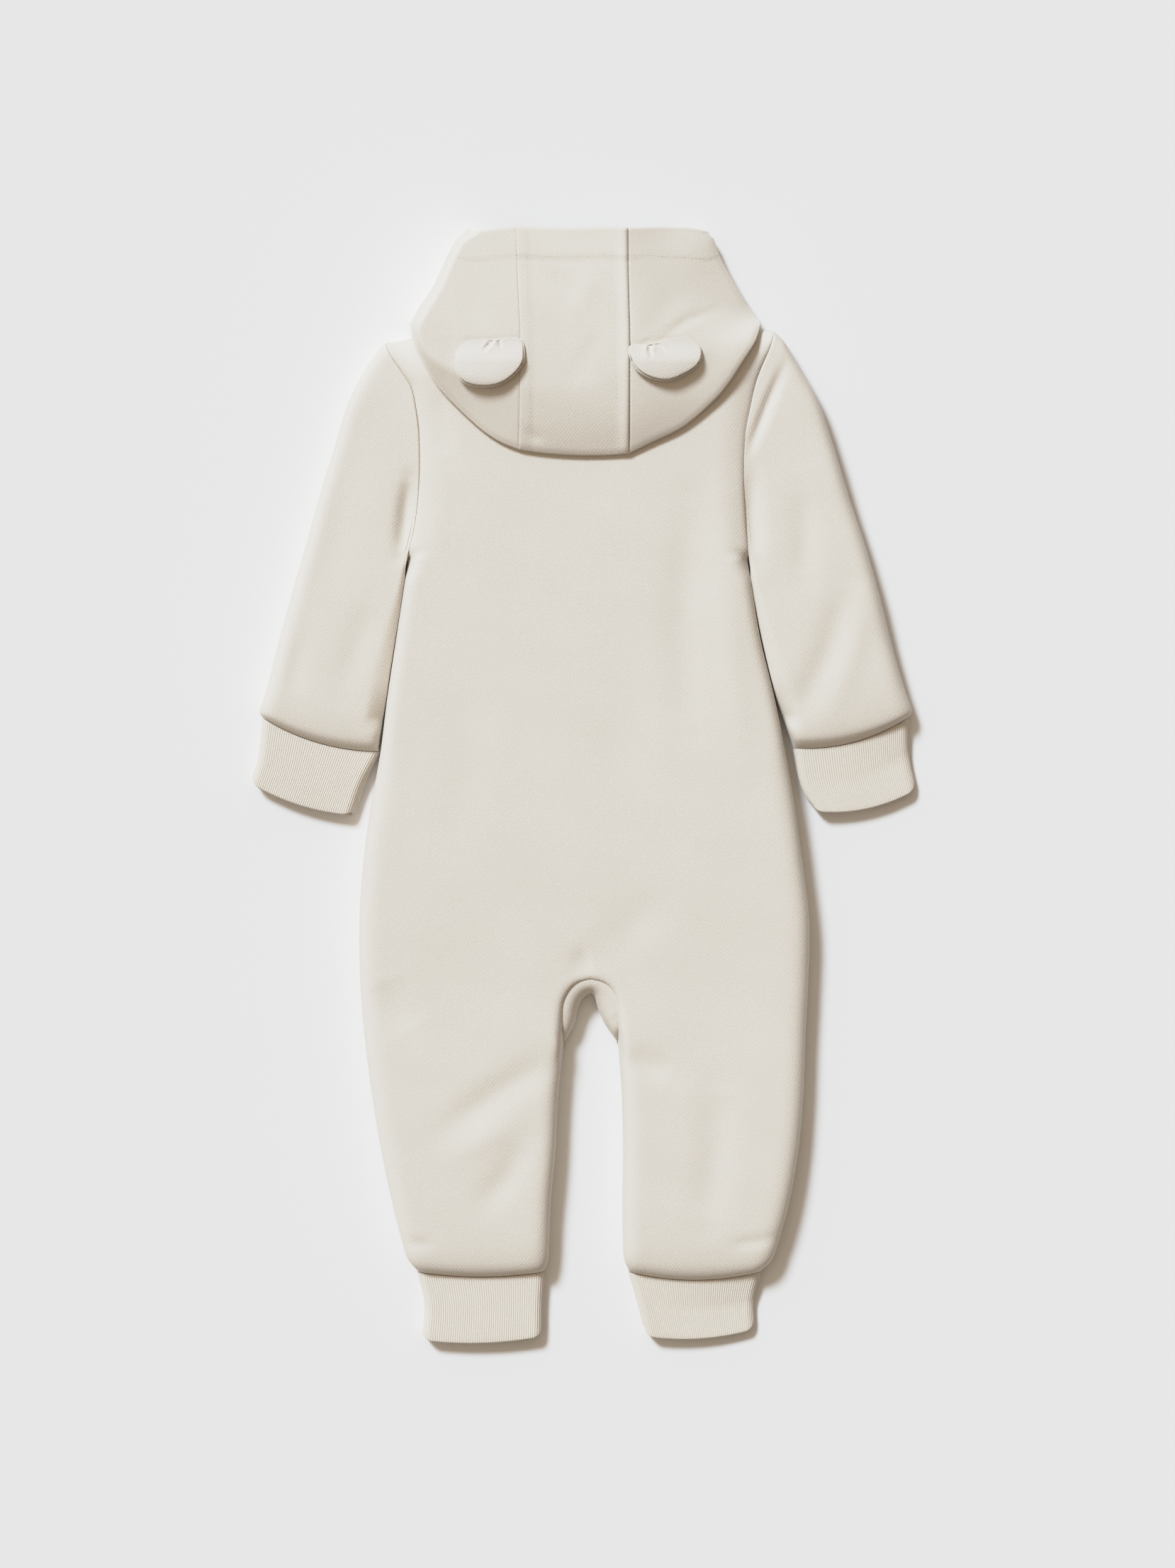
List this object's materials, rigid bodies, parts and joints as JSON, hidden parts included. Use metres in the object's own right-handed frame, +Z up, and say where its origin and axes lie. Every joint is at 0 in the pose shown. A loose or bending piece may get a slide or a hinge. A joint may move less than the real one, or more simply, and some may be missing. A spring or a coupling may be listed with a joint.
{
  "type": "baby overall",
  "caption": "One-piece baby overall of soft cream fleece with a turned-back hood, round bear ears on it, ribbed cuffs and a curved crotch gusset, laid face down.",
  "frame": {"origin": "centre of the laid garment's outline, on the surface that it lies on", "axes": "+Z up from that surface, so the garment's back faces +Z; +Y from the legs to the hood; +X to the right in the view from above"},
  "size_m": [0.4051, 0.6789, 0.0467],
  "materials": {
    "fleece": "matt brushed fleece",
    "ear_fleece": "matt brushed fleece",
    "rib_knit": "matt 1x1 rib knit",
    "stud_metal": "satin"
  },
  "bodies": {
    "root": {"back": "fleece", "front_left": "fleece", "front_right": "fleece", "sleeve_left": "fleece", "sleeve_right": "fleece", "crotch_gusset": "fleece", "hood_left": "fleece", "hood_center": "fleece", "hood_right": "fleece", "front_placket": "fleece", "ear_left_back": "ear_fleece", "ear_left_front": "ear_fleece", "ear_right_back": "ear_fleece", "ear_right_front": "ear_fleece", "sleeve_cuff_left": "rib_knit", "sleeve_cuff_right": "rib_knit", "leg_cuff_left": "rib_knit", "leg_cuff_right": "rib_knit", "press_stud_1": "stud_metal", "press_stud_2": "stud_metal", "press_stud_3": "stud_metal", "press_stud_4": "stud_metal", "press_stud_5": "stud_metal", "press_stud_6": "stud_metal", "press_stud_7": "stud_metal"}
  },
  "joints": []
}
